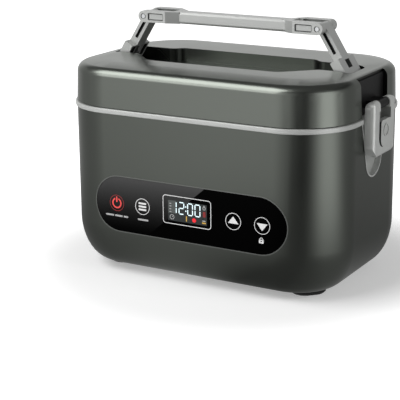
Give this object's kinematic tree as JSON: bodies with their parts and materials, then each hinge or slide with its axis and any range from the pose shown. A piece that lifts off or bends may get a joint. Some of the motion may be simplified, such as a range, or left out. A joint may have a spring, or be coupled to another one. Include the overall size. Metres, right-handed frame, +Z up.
{
  "type": "electric lunch box",
  "caption": "Heated lunch box with a rounded body, lift-off lid, side latches, a fold-down carrying handle, a touch panel and a lift-out food container.",
  "frame": {"origin": "centre of the footprint, on the surface that the feet stand on", "axes": "+X to the right along the body's length, +Y to the back, away from the control panel, +Z up"},
  "size_m": [0.26, 0.163, 0.2035],
  "materials": {
    "body_plastic": "satin",
    "lid_plastic": "satin",
    "trim_plastic": "satin",
    "latch_plastic": "satin",
    "handle_plastic": "satin",
    "liner_plastic": "satin",
    "black_plastic": "satin",
    "foot_rubber": "matte",
    "gasket_silicone": "matte",
    "lens_gloss": "gloss",
    "pan_steel": "brushed",
    "pin_steel": "satin",
    "heater_alloy": "cast",
    "circuit_board": "satin",
    "spring_brass": "satin",
    "felt": "matte",
    "wire_jacket": "satin",
    "cutoff_ceramic": "matte"
  },
  "bodies": {
    "base": {"outer_shell": "body_plastic", "rim_band": "trim_plastic", "base_cover": "black_plastic", "cover_screws": "pin_steel", "foot_front_left": "foot_rubber", "foot_front_right": "foot_rubber", "foot_rear_left": "foot_rubber", "foot_rear_right": "foot_rubber", "heating_pan": "pan_steel", "pan_insulation": "felt", "heating_plate": "heater_alloy", "heater_clamps": "pin_steel", "thermal_cutoff": "cutoff_ceramic", "temperature_sensor": "heater_alloy", "panel_lens": "lens_gloss", "panel_bezel": "trim_plastic", "display_module": "black_plastic", "control_board": "circuit_board", "touch_springs": "spring_brass", "board_posts": "black_plastic", "power_board": "circuit_board", "board_screws": "pin_steel", "power_inlet": "black_plastic", "inlet_pins": "pin_steel", "supply_leads": "wire_jacket", "heater_leads": "wire_jacket", "panel_ribbon": "wire_jacket"},
    "lid": {"lid_shell": "lid_plastic", "lid_liner": "liner_plastic", "lid_gasket": "gasket_silicone", "lid_screws": "pin_steel", "latch_bracket_left": "black_plastic", "latch_bracket_right": "black_plastic", "link_pin_left": "pin_steel", "link_pin_right": "pin_steel", "latch_pin_left": "pin_steel", "latch_pin_right": "pin_steel"},
    "latch_left": {"latch_frame_left": "latch_plastic", "latch_tongue_left": "latch_plastic"},
    "latch_right": {"latch_frame_right": "latch_plastic", "latch_tongue_right": "latch_plastic"},
    "grip": {"grip_bar": "handle_plastic", "grip_screws": "pin_steel"},
    "link_left": {"link_left": "handle_plastic", "slider_pin_left": "pin_steel"},
    "link_right": {"link_right": "handle_plastic", "slider_pin_right": "pin_steel"},
    "container": {"food_container": "pan_steel"}
  },
  "joints": [
    {"name": "lid_lift", "type": "slide", "parent": "base", "child": "lid", "axis": [0, 0, 1], "range_m": [0, 0.2]},
    {"name": "container_lift", "type": "slide", "parent": "base", "child": "container", "axis": [0, 0, 1], "range_m": [0, 0.1]},
    {"name": "latch_left_swing", "type": "hinge", "parent": "lid", "child": "latch_left", "pos_m": [-0.1245, 0, 0.1445], "axis": [0, 1, 0], "range_deg": [0, 110]},
    {"name": "latch_right_swing", "type": "hinge", "parent": "lid", "child": "latch_right", "pos_m": [0.1245, 0, 0.1445], "axis": [0, -1, 0], "range_deg": [0, 110]},
    {"name": "grip_fold", "type": "slide", "parent": "lid", "child": "grip", "axis": [0, 0, -1], "range_m": [0, 0.035]},
    {"name": "link_left_fold", "type": "hinge", "parent": "lid", "child": "link_left", "pos_m": [-0.0995, 0, 0.163], "axis": [0, 1, 0], "range_deg": [0, 56.48]},
    {"name": "link_right_fold", "type": "hinge", "parent": "lid", "child": "link_right", "pos_m": [0.0995, 0, 0.163], "axis": [0, -1, 0], "range_deg": [0, 56.48]}
  ],
  "couplings": [
    {"joint": "container_lift", "follows": "lid_lift", "ratio": 0.5},
    {"joint": "link_left_fold", "follows": "grip_fold", "rad_per_m": 28.16},
    {"joint": "link_right_fold", "follows": "grip_fold", "rad_per_m": 28.16}
  ]
}
